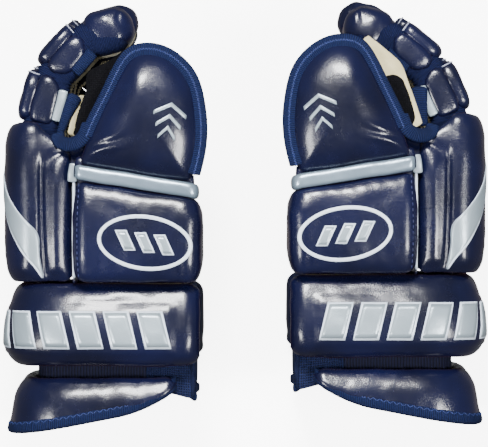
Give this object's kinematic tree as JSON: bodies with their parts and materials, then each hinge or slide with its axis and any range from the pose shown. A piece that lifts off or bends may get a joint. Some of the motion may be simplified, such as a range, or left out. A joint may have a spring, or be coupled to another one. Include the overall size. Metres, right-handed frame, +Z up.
{
  "type": "ice hockey gloves",
  "caption": "Pair of padded ice hockey gloves lying on the little-finger side: jointed padded fingers, lifting thumb guard, thick cuff roll and hinged cuff flare, open hand cavities.",
  "frame": {"origin": "middle of the pair's box, at the height of the surface that the gloves lie on", "axes": "+X from the left glove to the right glove, +Y towards the fingertips, +Z up, from the little-finger side to the thumb side"},
  "size_m": [0.3866, 0.345, 0.1665],
  "materials": {
    "navy_leather": "glossy coated synthetic leather with a soft sheen",
    "finger_leather": "glossy coated synthetic leather over foam",
    "silver_leather": "satin silver coated leather",
    "palm_leather": "matt off-white suede-like palm leather",
    "navy_webbing": "ribbed woven nylon tape and mesh",
    "dark_elastic": "ribbed elastic",
    "lining": "brushed knit lining",
    "insert_plastic": "moulded polyethylene insert"
  },
  "bodies": {
    "left_hand": {"left_back_pad": "navy_leather", "left_back_plate": "insert_plastic", "left_side_roll": "navy_leather", "left_under_roll": "navy_leather", "left_seam_piping": "silver_leather", "left_silver_band": "silver_leather", "left_palm_panel": "palm_leather", "left_hand_liner": "lining", "left_cuff_roll": "navy_leather", "left_palm_tab": "navy_webbing", "left_wrist_gusset": "dark_elastic"},
    "left_cuff": {"left_cuff_flare": "navy_leather", "left_cuff_plate": "insert_plastic", "left_cuff_binding": "navy_webbing"},
    "left_thumb": {"left_thumb_guard": "navy_leather", "left_thumb_splint": "insert_plastic", "left_thumb_binding": "navy_webbing", "left_thumb_stall": "palm_leather"},
    "left_index_base": {"left_index_base": "finger_leather"},
    "left_index_mid": {"left_index_mid": "finger_leather"},
    "left_index_tip": {"left_index_tip": "finger_leather"},
    "left_middle_base": {"left_middle_base": "finger_leather"},
    "left_middle_mid": {"left_middle_mid": "finger_leather"},
    "left_middle_tip": {"left_middle_tip": "finger_leather"},
    "left_ring_base": {"left_ring_base": "finger_leather"},
    "left_ring_mid": {"left_ring_mid": "finger_leather"},
    "left_ring_tip": {"left_ring_tip": "finger_leather"},
    "left_little_base": {"left_little_base": "finger_leather"},
    "left_little_mid": {"left_little_mid": "finger_leather"},
    "left_little_tip": {"left_little_tip": "finger_leather"},
    "right_hand": {"right_back_pad": "navy_leather", "right_back_plate": "insert_plastic", "right_side_roll": "navy_leather", "right_under_roll": "navy_leather", "right_seam_piping": "silver_leather", "right_silver_band": "silver_leather", "right_palm_panel": "palm_leather", "right_hand_liner": "lining", "right_cuff_roll": "navy_leather", "right_palm_tab": "navy_webbing", "right_wrist_gusset": "dark_elastic"},
    "right_cuff": {"right_cuff_flare": "navy_leather", "right_cuff_plate": "insert_plastic", "right_cuff_binding": "navy_webbing"},
    "right_thumb": {"right_thumb_guard": "navy_leather", "right_thumb_splint": "insert_plastic", "right_thumb_binding": "navy_webbing", "right_thumb_stall": "palm_leather"},
    "right_index_base": {"right_index_base": "finger_leather"},
    "right_index_mid": {"right_index_mid": "finger_leather"},
    "right_index_tip": {"right_index_tip": "finger_leather"},
    "right_middle_base": {"right_middle_base": "finger_leather"},
    "right_middle_mid": {"right_middle_mid": "finger_leather"},
    "right_middle_tip": {"right_middle_tip": "finger_leather"},
    "right_ring_base": {"right_ring_base": "finger_leather"},
    "right_ring_mid": {"right_ring_mid": "finger_leather"},
    "right_ring_tip": {"right_ring_tip": "finger_leather"},
    "right_little_base": {"right_little_base": "finger_leather"},
    "right_little_mid": {"right_little_mid": "finger_leather"},
    "right_little_tip": {"right_little_tip": "finger_leather"}
  },
  "joints": [
    {"name": "left_cuff_hinge", "type": "hinge", "parent": "left_hand", "child": "left_cuff", "pos_m": [-0.1728, -0.1269, 0.075], "axis": [0, 0, -1], "range_deg": [-4, 20]},
    {"name": "left_thumb_lift", "type": "hinge", "parent": "left_hand", "child": "left_thumb", "pos_m": [-0.13085, 0.0386, 0.1575], "axis": [0.9877, -0.1564, 0], "range_deg": [0, 30]},
    {"name": "left_index_knuckle", "type": "hinge", "parent": "left_hand", "child": "left_index_base", "pos_m": [-0.1633, 0.0703, 0.1134], "axis": [0, 0, -1], "range_deg": [-15, 35]},
    {"name": "left_index_middle_joint", "type": "hinge", "parent": "left_index_base", "child": "left_index_mid", "pos_m": [-0.15269, 0.1099, 0.1134], "axis": [0, 0, -1], "range_deg": [-15, 35]},
    {"name": "left_index_tip_joint", "type": "hinge", "parent": "left_index_mid", "child": "left_index_tip", "pos_m": [-0.12726, 0.13814, 0.1134], "axis": [0, 0, -1], "range_deg": [-10.5, 24.5]},
    {"name": "left_middle_knuckle", "type": "hinge", "parent": "left_hand", "child": "left_middle_base", "pos_m": [-0.1633, 0.0733, 0.0796], "axis": [0, 0, -1], "range_deg": [-15, 35]},
    {"name": "left_middle_middle_joint", "type": "hinge", "parent": "left_middle_base", "child": "left_middle_mid", "pos_m": [-0.15191, 0.1158, 0.0796], "axis": [0, 0, -1], "range_deg": [-15, 35]},
    {"name": "left_middle_tip_joint", "type": "hinge", "parent": "left_middle_mid", "child": "left_middle_tip", "pos_m": [-0.12515, 0.14553, 0.0796], "axis": [0, 0, -1], "range_deg": [-10.5, 24.5]},
    {"name": "left_ring_knuckle", "type": "hinge", "parent": "left_hand", "child": "left_ring_base", "pos_m": [-0.1633, 0.0713, 0.0488], "axis": [0, 0, -1], "range_deg": [-15, 35]},
    {"name": "left_ring_middle_joint", "type": "hinge", "parent": "left_ring_base", "child": "left_ring_mid", "pos_m": [-0.15243, 0.11187, 0.0488], "axis": [0, 0, -1], "range_deg": [-15, 35]},
    {"name": "left_ring_tip_joint", "type": "hinge", "parent": "left_ring_mid", "child": "left_ring_tip", "pos_m": [-0.127, 0.14011, 0.0488], "axis": [0, 0, -1], "range_deg": [-10.5, 24.5]},
    {"name": "left_little_knuckle", "type": "hinge", "parent": "left_hand", "child": "left_little_base", "pos_m": [-0.1633, 0.0653, 0.018], "axis": [0, 0, -1], "range_deg": [-15, 35]},
    {"name": "left_little_middle_joint", "type": "hinge", "parent": "left_little_base", "child": "left_little_mid", "pos_m": [-0.15398, 0.10007, 0.018], "axis": [0, 0, -1], "range_deg": [-15, 35]},
    {"name": "left_little_tip_joint", "type": "hinge", "parent": "left_little_mid", "child": "left_little_tip", "pos_m": [-0.13257, 0.12385, 0.018], "axis": [0, 0, -1], "range_deg": [-10.5, 24.5]},
    {"name": "right_cuff_hinge", "type": "hinge", "parent": "right_hand", "child": "right_cuff", "pos_m": [0.1728, -0.1199, 0.075], "axis": [0, 0, 1], "range_deg": [-4, 20]},
    {"name": "right_thumb_lift", "type": "hinge", "parent": "right_hand", "child": "right_thumb", "pos_m": [0.13085, 0.0456, 0.1575], "axis": [0.9877, 0.1564, 0], "range_deg": [0, 30]},
    {"name": "right_index_knuckle", "type": "hinge", "parent": "right_hand", "child": "right_index_base", "pos_m": [0.1633, 0.0773, 0.1134], "axis": [0, 0, 1], "range_deg": [-15, 35]},
    {"name": "right_index_middle_joint", "type": "hinge", "parent": "right_index_base", "child": "right_index_mid", "pos_m": [0.14597, 0.11446, 0.1134], "axis": [0, 0, 1], "range_deg": [-15, 35]},
    {"name": "right_index_tip_joint", "type": "hinge", "parent": "right_index_mid", "child": "right_index_tip", "pos_m": [0.11686, 0.13889, 0.1134], "axis": [0, 0, 1], "range_deg": [-10.5, 24.5]},
    {"name": "right_middle_knuckle", "type": "hinge", "parent": "right_hand", "child": "right_middle_base", "pos_m": [0.1633, 0.0803, 0.0796], "axis": [0, 0, 1], "range_deg": [-15, 35]},
    {"name": "right_middle_middle_joint", "type": "hinge", "parent": "right_middle_base", "child": "right_middle_mid", "pos_m": [0.14471, 0.12018, 0.0796], "axis": [0, 0, 1], "range_deg": [-15, 35]},
    {"name": "right_middle_tip_joint", "type": "hinge", "parent": "right_middle_mid", "child": "right_middle_tip", "pos_m": [0.11406, 0.14589, 0.0796], "axis": [0, 0, 1], "range_deg": [-10.5, 24.5]},
    {"name": "right_ring_knuckle", "type": "hinge", "parent": "right_hand", "child": "right_ring_base", "pos_m": [0.1633, 0.0783, 0.0488], "axis": [0, 0, 1], "range_deg": [-15, 35]},
    {"name": "right_ring_middle_joint", "type": "hinge", "parent": "right_ring_base", "child": "right_ring_mid", "pos_m": [0.14555, 0.11636, 0.0488], "axis": [0, 0, 1], "range_deg": [-15, 35]},
    {"name": "right_ring_tip_joint", "type": "hinge", "parent": "right_ring_mid", "child": "right_ring_tip", "pos_m": [0.11644, 0.14079, 0.0488], "axis": [0, 0, 1], "range_deg": [-10.5, 24.5]},
    {"name": "right_little_knuckle", "type": "hinge", "parent": "right_hand", "child": "right_little_base", "pos_m": [0.1633, 0.0723, 0.018], "axis": [0, 0, 1], "range_deg": [-15, 35]},
    {"name": "right_little_middle_joint", "type": "hinge", "parent": "right_little_base", "child": "right_little_mid", "pos_m": [0.14809, 0.10493, 0.018], "axis": [0, 0, 1], "range_deg": [-15, 35]},
    {"name": "right_little_tip_joint", "type": "hinge", "parent": "right_little_mid", "child": "right_little_tip", "pos_m": [0.12357, 0.1255, 0.018], "axis": [0, 0, 1], "range_deg": [-10.5, 24.5]},
    {"name": "right_glove_lift", "type": "slide", "parent": "left_hand", "child": "right_hand", "axis": [0, 0, 1], "range_m": [0, 0.2]}
  ],
  "couplings": [
    {"joint": "left_index_tip_joint", "follows": "left_index_middle_joint", "ratio": 0.7},
    {"joint": "left_middle_tip_joint", "follows": "left_middle_middle_joint", "ratio": 0.7},
    {"joint": "left_ring_tip_joint", "follows": "left_ring_middle_joint", "ratio": 0.7},
    {"joint": "left_little_tip_joint", "follows": "left_little_middle_joint", "ratio": 0.7},
    {"joint": "right_index_tip_joint", "follows": "right_index_middle_joint", "ratio": 0.7},
    {"joint": "right_middle_tip_joint", "follows": "right_middle_middle_joint", "ratio": 0.7},
    {"joint": "right_ring_tip_joint", "follows": "right_ring_middle_joint", "ratio": 0.7},
    {"joint": "right_little_tip_joint", "follows": "right_little_middle_joint", "ratio": 0.7}
  ]
}
